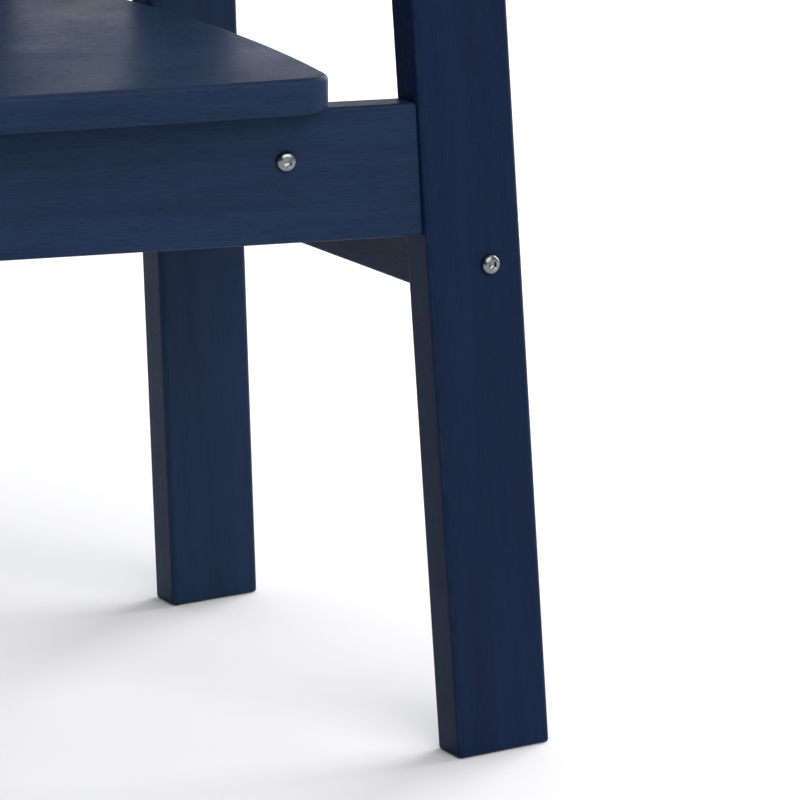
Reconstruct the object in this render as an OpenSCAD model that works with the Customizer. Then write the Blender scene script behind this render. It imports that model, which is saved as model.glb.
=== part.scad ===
// Adirondack chair: painted hardwood boards on four splayed legs.
// X runs left to right, Y from front to back, Z up.
// The origin is on the floor, under the middle of the chair's box.

/* [Frame] */
// Clear width between the front legs, at the apron
inner_w = 604; // [540:0.4:730]
// Distance from the front legs to the rear legs, along a side frame
leg_pitch = 325; // [290:1:390]
// Turn of each side frame in towards the back, in degrees
frame_yaw = 15.5; // [10:0.5:18]
// Height of the arms' underside above the floor
leg_h = 560; // [520:2:680]
// Width of a leg
leg_w = 58; // [48:0.2:70]
// Thickness of a leg
leg_t = 24; // [20:1:30]
// Outward lean of the legs, in degrees
splay_side = 2.86; // [1:0.1:4]
// Forward lean of the front legs and backward lean of the rear legs, in degrees
splay_fore = 2.23; // [1:0.1:4]

/* [Rails] */
// Height of the apron's lower edge above the floor
apron_z = 288.5; // [260:0.5:330]
// Height of the apron board
apron_h = 71; // [65:1:90]
// Thickness of the apron
apron_t = 18; // [15:1:24]
// Step from the front of a leg back to the apron
apron_setback = 4.3; // [1:0.1:6]
// Height of a side rail
side_rail_h = 43; // [36:1:50]
// Thickness of a side rail
side_rail_t = 24; // [20:1:28]
// Height of the rear rail that joins the rear legs
rear_rail_h = 46; // [40:1:55]
// Thickness of the rear rail
rear_rail_t = 20; // [16:1:22]

/* [Seat] */
// Depth of the seat panel at its centre line
seat_depth = 413; // [370:1:450]
// Thickness of the seat panel
seat_t = 19.5; // [16:0.1:26]
// Gap between the seat panel's front corner and the leg
seat_gap = 49.4; // [44:0.2:70]
// How far the middle of the seat's front edge stands out past the apron
seat_nose = 29; // [22:1:40]
// Radius of the bow along the seat's front edge
seat_front_r = 3050; // [2400:50:6000]
// Radius of the bow along each side of the seat
seat_side_r = 988; // [850:2:1200]
// Radius of the seat's front corners
seat_corner_r = 16; // [8:1:30]
// Height of a seat bearer
bearer_h = 45; // [38:1:52]
// Width of a seat bearer
bearer_w = 32; // [30:1:40]

/* [Back] */
// Lean of the back from upright, in degrees
recline = 18; // [14:0.5:22]
// Length of the back above the seat, along its slope
back_h = 600; // [520:5:680]
// Spacing of the slats' centres at seat level
slat_pitch = 47; // [42:0.1:57]
// How much wider that spacing gets for each millimetre up the back
slat_fan = 0.0335; // [0.02:0.0005:0.045]
// Thickness of a slat
slat_t = 18; // [15:1:22]
// Gap between slats
slat_gap = 4.5; // [3:0.5:8]
// Radius of the arch along the slats' tops
arch_r = 350; // [300:10:600]
// Thickness of the lower back rail, measured at its bottom edge
back_rail_t = 24; // [20:1:30]
// Thickness of the arm rail, measured at its top edge
arm_rail_t = 26; // [22:1:34]
// Height of the arm rail
arm_rail_h = 45; // [40:1:60]
// Distance of the top brace above the seat, along the slope of the back
brace_s = 452; // [400:2:480]
// Height of the top brace
brace_h = 46; // [36:1:60]
// Thickness of the top brace
brace_t = 18; // [15:1:24]

/* [Arms] */
// Width of an arm at its front
arm_front_w = 148; // [125:1:165]
// Width of an arm at its rear end
arm_rear_w = 64; // [56:1:80]
// Thickness of an arm
arm_t = 22; // [18:1:28]
// How far an arm stands out past the front leg
arm_nose = 62; // [40:1:80]
// Gap between an arm and the outer slat
arm_gap = 8; // [5:1:14]
// Depth of an arm bracket under the arm
bracket_w = 40; // [30:1:44]
// Height of an arm bracket
bracket_h = 108; // [80:1:112]

/* [Hardware] */
// Distance from the apron's end to its outer bolt
bolt_inset = 72; // [64:1:90]
// Height of the apron bolts above the floor
apron_bolt_z = 332.5; // [326:0.5:340]
// Height of the leg bolts above the floor
leg_bolt_z = 269.5; // [262:0.5:276]
// Distance of a leg bolt from the leg's inner edge
leg_bolt_u = 37; // [30:0.5:40]
// Diameter of the bolt shanks
bolt_d = 6; // [5:0.5:8]
// Diameter of the button heads
head_d = 11; // [10:0.5:14]
// Height of the button heads
head_h = 3.6; // [2.5:0.1:4.5]
// Diameter of the barrel nuts
nut_d = 10; // [9:0.5:12]
// Length of the barrel nuts
nut_l = 18; // [14:1:20]
// Depth of a barrel nut behind the face that its bolt enters
nut_depth = 26; // [22:1:34]
// Diameter of the wood dowels
dowel_d = 8; // [6:1:10]
// Length of the wood dowels
dowel_l = 36; // [24:2:40]
// Diameter of the screw shanks
screw_d = 4; // [3:0.5:5]
// Diameter of the countersunk screw heads
screw_head_d = 8; // [7:0.5:9]

/* [Hidden] */
$fn = 48;

navy = "#1f3354";
steel = "#b8bcc2";
beech = "#c8a878";

LEFT = -1;
RIGHT = 1;
FRONT = 1;
REAR = -1;
SIDES = [LEFT, RIGHT];

// Space between a fastener and its hole, on the radius
play = 0.3;
// Length that safely passes through any board
far = 1500;
// Slats in the back, and the middle one
slat_n = 7;
slat_mid = 4;

// Heights of the frame
joint_z = apron_z + apron_h / 2;
seat_z = apron_z + apron_h;
seat_top = seat_z + seat_t;
bearer_z = seat_z - bearer_h;
rear_rail_z = bearer_z - rear_rail_h;
side_rail_z = leg_bolt_z - side_rail_h / 2;

// A leg's centre on the floor, in its side frame
lean_side = tan(splay_side);
lean_fore = tan(splay_fore);
leg_u = leg_w / 2 + lean_side * joint_z;
leg_front_v = leg_t / 2 - apron_setback - lean_fore * joint_z;
side_rail_u = leg_u - lean_side * leg_bolt_z + leg_bolt_u - leg_w / 2;

// Turns a point of the right side frame (u outward, v back) into the chair's X and Y
function frame_x(u, v) = inner_w / 2 + u * cos(frame_yaw) - v * sin(frame_yaw);
function frame_y(u, v) = u * sin(frame_yaw) + v * cos(frame_yaw);
// Leg centre v at height z
function leg_v(end, z) = end == FRONT ? leg_front_v + lean_fore * z
                                      : leg_front_v + leg_pitch - lean_fore * z;
function leg_x(end, z) = frame_x(leg_u - lean_side * z, leg_v(end, z));
function leg_y(end, z) = frame_y(leg_u - lean_side * z, leg_v(end, z));
// X of the legs' inner faces at a given Y and height
function face_u(z) = lean_side * (joint_z - z);
function face_x(y, z) = frame_x(face_u(z), (y - face_u(z) * sin(frame_yaw)) / cos(frame_yaw));

// Rear rail, centred on the rear legs' inner faces
rear_mid_z = rear_rail_z + rear_rail_h / 2;
rear_rail_y = frame_y(face_u(rear_mid_z), leg_v(REAR, rear_mid_z)) - rear_rail_t / 2;

// Seat and back. The slats' front plane clears the seat's lower rear edge.
seat_rear_y = seat_depth - seat_nose;
back_clear = 2;
back_y = seat_rear_y + tan(recline) * seat_t + back_clear;
function back_front(z) = back_y + (z - seat_top) * tan(recline);
function back_rear(z) = back_front(z) + slat_t / cos(recline);
function pitch_at(s) = slat_pitch + slat_fan * s;
function fan_half(s) = (slat_n * pitch_at(s) - slat_gap) / 2;
back_rail_y = back_front(bearer_z) - back_rail_t;
// The slats run on below the bearers by this much
slat_tail = 8;
slat_low = -(seat_top - bearer_z) / cos(recline) - slat_tail;
arm_s = (leg_h + arm_t - seat_top) / cos(recline);
arm_rail_rear = back_rear(leg_h) + arm_rail_t;

// Arms
arm_inner_rear = fan_half(arm_s) + arm_gap;
arm_tail = 8;
arm_end_y = arm_rail_rear + arm_tail;
arm_front_y = leg_y(FRONT, leg_h) - leg_t / 2 - arm_nose;
arm_shift = 5;
arm_front_inner = leg_x(FRONT, leg_h) - arm_front_w / 2 + arm_shift;
arm_bow = 16;
arm_corner_out = 48;
arm_corner_in = 32;
arm_corner_rear = 14;
arm_rail_step = 10;
arm_rail_half = arm_inner_rear + arm_rear_w - arm_rail_step;

// Bearers
bearer_x = inner_w / 2 - bolt_inset;
bearer_length = back_rail_y - apron_t;
lower_rail_half = bearer_x - back_rail_y * tan(frame_yaw) + bearer_w;

// The chair's box, front to back
front_y = min(arm_front_y, -seat_nose);
rear_y = back_y + back_h * sin(recline) + slat_t * cos(recline);
mid_y = (front_y + rear_y) / 2;

// Screw lengths and the depth of the counterbores below long ones
seat_screw_l = 40;
seat_screw_sink = bearer_h + seat_t * 0.6 - seat_screw_l;
rail_screw_l = 50;
rail_screw_sink = rear_rail_h + bearer_h / 2 - rail_screw_l;
slat_screw_l = 34;
arm_screw_l = 50;
bracket_screw_l = 45;
back_screw_l = 60;
back_screw_set_in = 1.5;
socket_depth = 1.6;

// Shares of a board's length or height at which its paired fasteners sit
seat_screw_shares = [0.28, 0.7];
back_screw_shares = [0.22, 0.78];
dowel_shares = [0.25, 0.75];
bracket_screw_shares = [0.3, 0.62];

// An arc's points, counter-clockwise when the second angle is larger
function arc(c, r, from, to, n = 10) =
    [for (i = [0:n]) c + r * [cos(from + (to - from) * i / n), sin(from + (to - from) * i / n)]];
function flipped(points) = [for (i = [len(points) - 1:-1:0]) [-points[i][0], points[i][1]]];

// Seat outline: bowed front, rounded corners, bowed sides and a straight rear edge
seat_half = inner_w / 2 - seat_gap;
front_turn = asin((seat_half - seat_corner_r) / seat_front_r);
side_start = 3.65;
seat_rear_r = 8;
front_c = [0, seat_front_r - seat_nose];
corner_c = front_c + (seat_front_r - seat_corner_r) * [sin(front_turn), -cos(front_turn)];
side_c = corner_c - (seat_side_r - seat_corner_r) * [cos(side_start), sin(side_start)];
side_end = asin((seat_rear_y - seat_rear_r - side_c[1]) / (seat_side_r - seat_rear_r));
rear_c = side_c + (seat_side_r - seat_rear_r) * [cos(side_end), sin(side_end)];
seat_right = concat(
    arc(front_c, seat_front_r, -90, front_turn - 90, 12),
    arc(corner_c, seat_corner_r, front_turn - 90, side_start, 10),
    arc(side_c, seat_side_r, side_start, side_end, 16),
    arc(rear_c, seat_rear_r, side_end, 90, 6)
);
seat_outline = concat(seat_right, flipped(seat_right));

// Places everything so that the origin is under the middle of the chair's box
module placed() {
    translate([0, -mid_y, 0]) children();
}

// The right-hand children, or their mirror image on the left
module on_side(side) {
    if (side == LEFT) mirror([1, 0, 0]) children();
    else children();
}

// Axes of the right side frame: X outward, Y back
module side_frame() {
    translate([inner_w / 2, 0, 0]) rotate([0, 0, frame_yaw]) children();
}

// Axes of a leg: centred on its section, Z up along it from the floor
module leg_axes(end) {
    side_frame()
        translate([leg_u, leg_v(end, 0), 0])
            rotate([-end * splay_fore, -splay_side, 0])
                children();
}

// Axes of the back: X across, Y through the slats, Z up the slope from the seat
module back_axes() {
    translate([0, back_y, seat_top]) rotate([-recline, 0, 0]) children();
}

// Everything between two heights
module between(low, high) {
    translate([-far, -far, low]) cube([2 * far, 2 * far, high - low]);
}

// ---- fasteners, with the head's underside at Z = 0 and the shank pointing down ----

// Button-head bolt with a hex socket
module bolt(length) {
    socket_d = head_d * 0.42;
    dome_r = head_d * 0.62;
    difference() {
        union() {
            intersection() {
                cylinder(d = head_d, h = head_h);
                translate([0, 0, head_h - dome_r]) sphere(r = dome_r);
            }
            translate([0, 0, -length]) cylinder(d = bolt_d, h = length + 0.1);
        }
        translate([0, 0, head_h * 0.35]) cylinder(d = socket_d, h = head_h, $fn = 6);
    }
}

module bolt_hole(length) {
    translate([0, 0, -length]) cylinder(d = bolt_d + 2 * play, h = length + 1);
}

// Barrel nut across a bolt, lying along X
module barrel_nut() {
    difference() {
        rotate([0, 90, 0]) cylinder(d = nut_d - play, h = nut_l, center = true);
        translate([0, 0, -nut_d]) cylinder(d = bolt_d + 0.1, h = 2 * nut_d);
    }
}

// Blind hole for a barrel nut, open towards -X
module nut_hole(reach) {
    translate([-reach, 0, 0]) rotate([0, 90, 0]) cylinder(d = nut_d, h = reach + nut_l / 2 + 0.5);
}

module screw(length) {
    cone_h = (screw_head_d - screw_d) / 2;
    difference() {
        union() {
            translate([0, 0, -cone_h]) cylinder(d1 = screw_d, d2 = screw_head_d, h = cone_h, $fn = 24);
            translate([0, 0, -length]) cylinder(d = screw_d, h = length - cone_h + 0.1, $fn = 24);
        }
        translate([0, 0, -socket_depth]) cylinder(d = screw_d * 0.75, h = 2, $fn = 6);
    }
}

// Countersunk hole for a screw, with the head set in by an extra depth
module screw_hole(length, sink = 0) {
    cone_h = (screw_head_d - screw_d) / 2;
    d = screw_d + 2 * play;
    head = screw_head_d + 2 * play;
    translate([0, 0, -cone_h]) cylinder(d1 = d, d2 = head, h = cone_h, $fn = 24);
    translate([0, 0, -0.01]) cylinder(d = head, h = sink + 5, $fn = 24);
    translate([0, 0, -length - 1]) cylinder(d = d, h = length + 1, $fn = 24);
}

// ---- places of the fasteners ----

// Leg bolts: through a leg into the end of its side rail
module at_leg_bolt(end) {
    leg_axes(end)
        translate([leg_bolt_u - leg_w / 2, -end * leg_t / 2, leg_bolt_z / cos(splay_fore)])
            rotate([end * 90, 0, 0])
                children();
}

// Apron bolts: through the apron into the front end of a bearer
module at_apron_bolts() {
    for (x = [-bearer_x, 0, bearer_x])
        translate([x, 0, apron_bolt_z]) rotate([90, 0, 0]) children();
}

// Apron dowels: two at each end, along X
module at_apron_dowels() {
    for (side = SIDES, share = dowel_shares)
        on_side(side)
            translate([face_x(apron_t / 2, apron_z + apron_h * share), apron_t / 2,
                       apron_z + apron_h * share])
                rotate([0, 90, 0])
                    children();
}

module at_rear_dowels() {
    y = rear_rail_y + rear_rail_t / 2;
    for (side = SIDES, share = dowel_shares)
        on_side(side)
            translate([face_x(y, rear_rail_z + rear_rail_h * share), y,
                       rear_rail_z + rear_rail_h * share])
                rotate([0, 90, 0])
                    children();
}

// Bearer frames: 0 is the centre bearer, -1 and 1 are the outer ones
module bearer_axes(which) {
    translate([which * bearer_x, 0, 0]) rotate([0, 0, which * frame_yaw]) children();
}

// Seat screws: up through each bearer, head down
module at_seat_screws(which) {
    for (share = seat_screw_shares)
        bearer_axes(which)
            translate([0, apron_t + bearer_length * share, bearer_z + seat_screw_sink])
                rotate([180, 0, 0])
                    children();
}

// Rear rail screws: up through the rail into each bearer
module at_rear_rail_screws() {
    y = rear_rail_y + rear_rail_t / 2;
    for (which = [-1, 0, 1])
        translate([which * (bearer_x - y * tan(frame_yaw)), y, rear_rail_z + rail_screw_sink])
            rotate([180, 0, 0])
                children();
}

// Back rail screws: forward through the lower back rail into each bearer's end
module at_back_rail_screws() {
    for (which = [-1, 0, 1], share = back_screw_shares)
        translate([which * (bearer_x - back_rail_y * tan(frame_yaw)),
                   back_front(bearer_z + bearer_h * share) - back_screw_set_in,
                   bearer_z + bearer_h * share])
            rotate([-90, 0, 0])
                children();
}

// Slat screws: s is the distance up the back, w the depth of the head's face in the slats
module at_slat_screw(k, s, w, turn) {
    back_axes()
        translate([(k - slat_mid) * pitch_at(s), w, s]) rotate([turn, 0, 0]) children();
}

low_screw_s = -(seat_top - bearer_z - bearer_h / 2) / cos(recline);
mid_screw_s = (leg_h - arm_rail_h / 2 - seat_top) / cos(recline);
top_screw_s = brace_s + brace_h / 2;

// Step from the outer slats' edges in to the brace's ends
brace_step = 14;

module at_low_screw(k) {
    at_slat_screw(k, low_screw_s, slat_t, -90) children();
}

module at_mid_screw(k) {
    at_slat_screw(k, mid_screw_s, 0, 90) children();
}

module at_top_screw(k) {
    at_slat_screw(k, top_screw_s, 0, 90) children();
}

// Arm screws: down through an arm into the legs and the arm rail, on the right
module at_arm_screws() {
    step = leg_w * 0.25;
    for (end = [FRONT, REAR], off = [-step, step])
        translate([leg_x(end, leg_h) + off * cos(frame_yaw),
                   leg_y(end, leg_h) + off * sin(frame_yaw), leg_h + arm_t])
            children();
    translate([arm_inner_rear + arm_rear_w / 2, arm_rail_rear - arm_rail_t / 2, leg_h + arm_t])
        children();
}

// Bracket screws: through the bracket's curved edge into the leg, on the right
module at_bracket_screws() {
    for (drop = bracket_screw_shares)
        leg_axes(FRONT)
            translate([leg_w / 2 + bracket_edge(drop), 0, leg_h - bracket_h * drop])
                rotate([0, 90, 0])
                    children();
}

// ---- boards ----

module leg(side, end) {
    color(navy) placed() on_side(side)
        difference() {
            intersection() {
                leg_axes(end) translate([-leg_w / 2, -leg_t / 2, -leg_w]) cube([leg_w, leg_t, far]);
                between(0, leg_h);
            }
            at_leg_bolt(end) bolt_hole(leg_t + 1);
            if (end == FRONT) at_apron_dowels() dowel_hole();
            else at_rear_dowels() dowel_hole();
            at_arm_screws() screw_hole(arm_screw_l);
            if (end == FRONT) at_bracket_screws() screw_hole(bracket_screw_l);
        }
}

module dowel_hole() {
    cylinder(d = dowel_d + play, h = dowel_l + 2, center = true);
}

// Everything beyond the inner faces of the front or rear legs
module past_inner_faces(end) {
    for (side = SIDES)
        on_side(side) leg_axes(end) translate([-leg_w / 2, -far, -far]) cube([far, 2 * far, 2 * far]);
}

module side_rail(side) {
    color(navy) placed() on_side(side)
        difference() {
            side_frame()
                translate([side_rail_u - side_rail_t / 2, 0, side_rail_z])
                    cube([side_rail_t, leg_pitch, side_rail_h]);
            leg_axes(FRONT) translate([-far, leg_t / 2 - far, -far]) cube([2 * far, far, 2 * far]);
            leg_axes(REAR) translate([-far, -leg_t / 2, -far]) cube([2 * far, far, 2 * far]);
            for (end = [FRONT, REAR])
                at_leg_bolt(end) {
                    bolt_hole(leg_t + nut_depth + nut_d + 2);
                    translate([0, 0, -leg_t - nut_depth]) nut_hole(side_rail_t);
                }
        }
}

module front_apron() {
    color(navy) placed()
        difference() {
            translate([-inner_w, 0, apron_z]) cube([2 * inner_w, apron_t, apron_h]);
            past_inner_faces(FRONT);
            at_apron_bolts() bolt_hole(apron_t + 1);
            at_apron_dowels() dowel_hole();
        }
}

module rear_rail() {
    color(navy) placed()
        difference() {
            translate([-inner_w, rear_rail_y, rear_rail_z])
                cube([2 * inner_w, rear_rail_t, rear_rail_h]);
            past_inner_faces(REAR);
            at_rear_dowels() dowel_hole();
            at_rear_rail_screws() screw_hole(rail_screw_l, rail_screw_sink);
        }
}

// A bearer runs back from the apron to the lower back rail
module seat_bearer(which) {
    color(navy) placed()
        difference() {
            intersection() {
                bearer_axes(which)
                    translate([-bearer_w / 2, -leg_w, bearer_z]) cube([bearer_w, far, bearer_h]);
                translate([-far, apron_t, 0]) cube([2 * far, bearer_length, far]);
            }
            at_apron_bolts() bolt_hole(apron_t + nut_depth + nut_d + 2);
            at_apron_bolts()
                translate([0, 0, -apron_t - nut_depth]) rotate([0, 0, 90]) nut_hole(bearer_h);
            at_seat_screws(which) screw_hole(seat_screw_l, seat_screw_sink);
            at_rear_rail_screws() screw_hole(rail_screw_l);
            at_back_rail_screws() screw_hole(back_screw_l);
        }
}

module seat_panel() {
    color(navy) placed()
        difference() {
            translate([0, 0, seat_z]) linear_extrude(seat_t) polygon(seat_outline);
            for (which = [-1, 0, 1]) at_seat_screws(which) screw_hole(seat_screw_l);
        }
}

// A rail along X, drawn by its section in Y and Z
module rail(half, section) {
    translate([-half, 0, 0]) rotate([90, 0, 90]) linear_extrude(2 * half) polygon(section);
}

module lower_back_rail() {
    color(navy) placed()
        difference() {
            rail(lower_rail_half, [
                [back_rail_y, bearer_z], [back_front(bearer_z), bearer_z],
                [back_front(seat_z), seat_z], [back_rail_y, seat_z]
            ]);
            at_back_rail_screws() screw_hole(back_screw_l, 4);
            for (k = [1:slat_n]) at_low_screw(k) screw_hole(slat_screw_l);
        }
}

module arm_rail() {
    low = leg_h - arm_rail_h;
    color(navy) placed()
        difference() {
            rail(arm_rail_half, [
                [back_rear(low), low], [arm_rail_rear, low],
                [arm_rail_rear, leg_h], [back_rear(leg_h), leg_h]
            ]);
            for (k = [1:slat_n]) at_mid_screw(k) screw_hole(slat_screw_l);
            for (side = SIDES) on_side(side) at_arm_screws() screw_hole(arm_screw_l);
        }
}

module top_brace() {
    half = fan_half(brace_s) - brace_step;
    color(navy) placed()
        difference() {
            back_axes() translate([-half, slat_t, brace_s]) cube([2 * half, brace_t, brace_h]);
            for (k = [1:slat_n]) at_top_screw(k) screw_hole(slat_screw_l);
        }
}

// Slat k of the fan, counted from the left; the arch cuts its top
module back_slat(k) {
    low = slat_low;
    color(navy) placed()
        difference() {
            back_axes()
                intersection() {
                    translate([0, slat_t, 0]) rotate([90, 0, 0]) linear_extrude(slat_t) polygon([
                        for (corner = [[-1, low], [1, low], [1, back_h + 1], [-1, back_h + 1]])
                            [(k - slat_mid) * pitch_at(corner[1])
                             + corner[0] * (pitch_at(corner[1]) - slat_gap) / 2, corner[1]]
                    ]);
                    arch();
                }
            at_low_screw(k) screw_hole(slat_screw_l);
            at_mid_screw(k) screw_hole(slat_screw_l);
            at_top_screw(k) screw_hole(slat_screw_l);
        }
}

// The arch and everything below it, through the thickness of the back
module arch() {
    translate([0, -1, back_h - arch_r]) rotate([-90, 0, 0])
        cylinder(r = arch_r, h = slat_t + 2, $fn = 160);
    translate([-arch_r, -1, slat_low - 1])
        cube([2 * arch_r, slat_t + 2, back_h - arch_r - slat_low + 1]);
}

// Arm outline on the right: a broad rounded paddle that tapers back past the slats
arm_front_outer = arm_front_inner + arm_front_w;
arm_outer_rear = arm_inner_rear + arm_rear_w;
// The arm's inner edge passes the slats and covers the rear leg's top
leg_cover = 6;
arm_knee = min(arm_inner_rear, leg_x(REAR, leg_h) - leg_w / 2 * cos(frame_yaw) - leg_cover);
arm_side_start = [arm_front_outer, arm_front_y + arm_corner_out];
arm_side_end = [arm_outer_rear, arm_end_y - arm_corner_rear];
arm_outline = concat(
    arc([arm_front_inner + arm_corner_in, arm_front_y + arm_corner_in], arm_corner_in, 180, 270),
    arc([arm_front_outer - arm_corner_out, arm_front_y + arm_corner_out], arm_corner_out, 270, 360),
    [for (t = [0.05:0.05:0.95])
        arm_side_start + t * (arm_side_end - arm_side_start) + [arm_bow * sin(180 * t), 0]],
    arc([arm_outer_rear - arm_corner_rear, arm_end_y - arm_corner_rear], arm_corner_rear, 0, 90, 6),
    arc([arm_inner_rear + arm_corner_rear, arm_end_y - arm_corner_rear], arm_corner_rear, 90, 180, 6),
    [[arm_knee, leg_y(REAR, leg_h) + leg_t]]
);

module arm(side) {
    color(navy) placed() on_side(side)
        difference() {
            translate([0, 0, leg_h]) linear_extrude(arm_t) polygon(arm_outline);
            at_arm_screws() screw_hole(arm_screw_l);
        }
}

// How far the bracket stands out from the leg, at a share of its height from the top
bracket_toe = 10;
function bracket_edge(drop) = bracket_toe + (bracket_w - bracket_toe) * (1 - sin(90 * drop));

// Bracket with a hollow curved edge, under the arm on the outside of the front leg
module arm_bracket(side) {
    edge = [for (drop = [0:0.1:1]) [leg_w / 2 + bracket_edge(drop), leg_h - bracket_h * drop]];
    color(navy) placed() on_side(side)
        difference() {
            intersection() {
                leg_axes(FRONT) translate([0, leg_t / 2 - 1, 0]) rotate([90, 0, 0])
                    linear_extrude(leg_t - 2) polygon(concat(
                        [[leg_w / 2, leg_h + leg_w]], [[leg_w / 2 + bracket_w, leg_h + leg_w]],
                        edge, [[leg_w / 2, leg_h - bracket_h]]
                    ));
                between(0, leg_h);
            }
            at_bracket_screws() screw_hole(bracket_screw_l, 8);
        }
}

// ---- fastener groups ----

module apron_bolts() {
    color(steel) placed() at_apron_bolts() bolt(apron_t + nut_depth + nut_d);
}

module leg_bolts() {
    color(steel) placed()
        for (side = SIDES, end = [FRONT, REAR])
            on_side(side) at_leg_bolt(end) bolt(leg_t + nut_depth + nut_d);
}

module barrel_nuts() {
    color(steel) placed() {
        at_apron_bolts()
            translate([0, 0, -apron_t - nut_depth]) rotate([0, 0, 90]) barrel_nut();
        for (side = SIDES, end = [FRONT, REAR])
            on_side(side) at_leg_bolt(end) translate([0, 0, -leg_t - nut_depth]) barrel_nut();
    }
}

module dowel() {
    cylinder(d = dowel_d, h = dowel_l, center = true);
}

module apron_dowels() {
    color(beech) placed() at_apron_dowels() dowel();
}

module rear_rail_dowels() {
    color(beech) placed() at_rear_dowels() dowel();
}

module seat_screws() {
    color(steel) placed() for (which = [-1, 0, 1]) at_seat_screws(which) screw(seat_screw_l);
}

module rear_rail_screws() {
    color(steel) placed() at_rear_rail_screws() screw(rail_screw_l);
}

module back_rail_screws() {
    color(steel) placed() at_back_rail_screws() screw(back_screw_l);
}

module slat_screws_lower() {
    color(steel) placed() for (k = [1:slat_n]) at_low_screw(k) screw(slat_screw_l);
}

module slat_screws_middle() {
    color(steel) placed() for (k = [1:slat_n]) at_mid_screw(k) screw(slat_screw_l);
}

module slat_screws_top() {
    color(steel) placed() for (k = [1:slat_n]) at_top_screw(k) screw(slat_screw_l);
}

module arm_screws() {
    color(steel) placed() for (side = SIDES) on_side(side) at_arm_screws() screw(arm_screw_l);
}

module bracket_screws() {
    color(steel) placed()
        for (side = SIDES) on_side(side) at_bracket_screws() screw(bracket_screw_l);
}

leg(LEFT, FRONT);  // front_leg_left
leg(RIGHT, FRONT);  // front_leg_right
leg(LEFT, REAR);  // rear_leg_left
leg(RIGHT, REAR);  // rear_leg_right
side_rail(LEFT);  // side_rail_left
side_rail(RIGHT);  // side_rail_right
front_apron();
rear_rail();
seat_bearer(-1);  // seat_bearer_left
seat_bearer(0);  // seat_bearer_centre
seat_bearer(1);  // seat_bearer_right
seat_panel();
lower_back_rail();
arm_rail();
top_brace();
back_slat(1);  // back_slat_1
back_slat(2);  // back_slat_2
back_slat(3);  // back_slat_3
back_slat(4);  // back_slat_4
back_slat(5);  // back_slat_5
back_slat(6);  // back_slat_6
back_slat(7);  // back_slat_7
arm(LEFT);  // arm_left
arm(RIGHT);  // arm_right
arm_bracket(LEFT);  // arm_bracket_left
arm_bracket(RIGHT);  // arm_bracket_right
apron_bolts();
leg_bolts();
barrel_nuts();
apron_dowels();
rear_rail_dowels();
seat_screws();
rear_rail_screws();
back_rail_screws();
slat_screws_lower();
slat_screws_middle();
slat_screws_top();
arm_screws();
bracket_screws();
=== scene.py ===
"""Navy painted garden chair: eased boards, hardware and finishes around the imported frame."""

import logging
from dataclasses import dataclass, field
from enum import Enum

import bpy
import numpy as np
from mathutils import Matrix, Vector
from mathutils.geometry import convex_hull_2d


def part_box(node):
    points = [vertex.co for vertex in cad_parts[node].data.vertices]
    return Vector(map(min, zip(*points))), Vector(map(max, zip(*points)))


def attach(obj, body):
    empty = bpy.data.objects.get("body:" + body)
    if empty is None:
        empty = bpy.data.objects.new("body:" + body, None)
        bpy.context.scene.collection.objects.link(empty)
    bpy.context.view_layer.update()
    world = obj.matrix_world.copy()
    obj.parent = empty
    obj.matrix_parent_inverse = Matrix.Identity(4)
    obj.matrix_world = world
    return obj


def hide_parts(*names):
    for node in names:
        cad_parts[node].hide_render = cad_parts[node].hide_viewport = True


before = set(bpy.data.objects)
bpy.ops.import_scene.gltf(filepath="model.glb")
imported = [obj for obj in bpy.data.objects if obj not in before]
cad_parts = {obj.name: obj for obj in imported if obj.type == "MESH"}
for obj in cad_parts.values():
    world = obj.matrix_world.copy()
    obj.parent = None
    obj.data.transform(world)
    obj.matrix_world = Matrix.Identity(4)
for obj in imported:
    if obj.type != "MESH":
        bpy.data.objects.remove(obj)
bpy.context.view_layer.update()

LOG = logging.getLogger("chair")
MM = 0.001
UP = np.array([0.0, 0.0, 1.0])
MERGE = 0.02 * MM
ON_PLANE = 0.04 * MM
SAME_PLANE = 0.05 * MM
SHORTEST_EDGE = 0.1 * MM
STRAIGHT_DEG = 0.12
GRAIN_STEP = np.array([0.37, 0.73, 0.19])


class End(Enum):
    """How the end of a board is worked, as the size of its eased edge in metres."""

    BUTT = 0.35 * MM
    FOOT = 2.0 * MM
    SHAPED = 3.0 * MM


class Bore(Enum):
    """Which fastener hole is cut in a board."""

    SCREW = "screw"
    NUT = "nut"


# ---------------------------------------------------------------- node groups


def add_node(tree: bpy.types.NodeTree, kind: str, **settings: object) -> bpy.types.Node:
    """Adds a node and sets its properties and inputs.

    Args:
        tree: the node tree that takes the node.
        kind: Blender's type name of the node.
        settings: properties by name; "inputs" is a dict of socket to value or source socket.

    Returns:
        The new node.
    """
    node = tree.nodes.new(kind)
    inputs = settings.pop("inputs", {})
    for name, value in settings.items():
        setattr(node, name, value)
    for key, value in inputs.items():
        if isinstance(value, bpy.types.NodeSocket):
            tree.links.new(value, node.inputs[key])
        else:
            node.inputs[key].default_value = value
    return node


def math_node(tree: bpy.types.NodeTree, operation: str, *values: object,
              clamp: bool = False) -> bpy.types.NodeSocket:
    """Adds a Math node.

    Args:
        tree: the node tree.
        operation: the Math operation.
        values: numbers or source sockets, in order.
        clamp: whether the result is kept between 0 and 1.

    Returns:
        The node's output socket.
    """
    node = add_node(tree, "ShaderNodeMath", operation=operation, use_clamp=clamp,
                    inputs=dict(enumerate(values)))
    return node.outputs[0]


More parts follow.
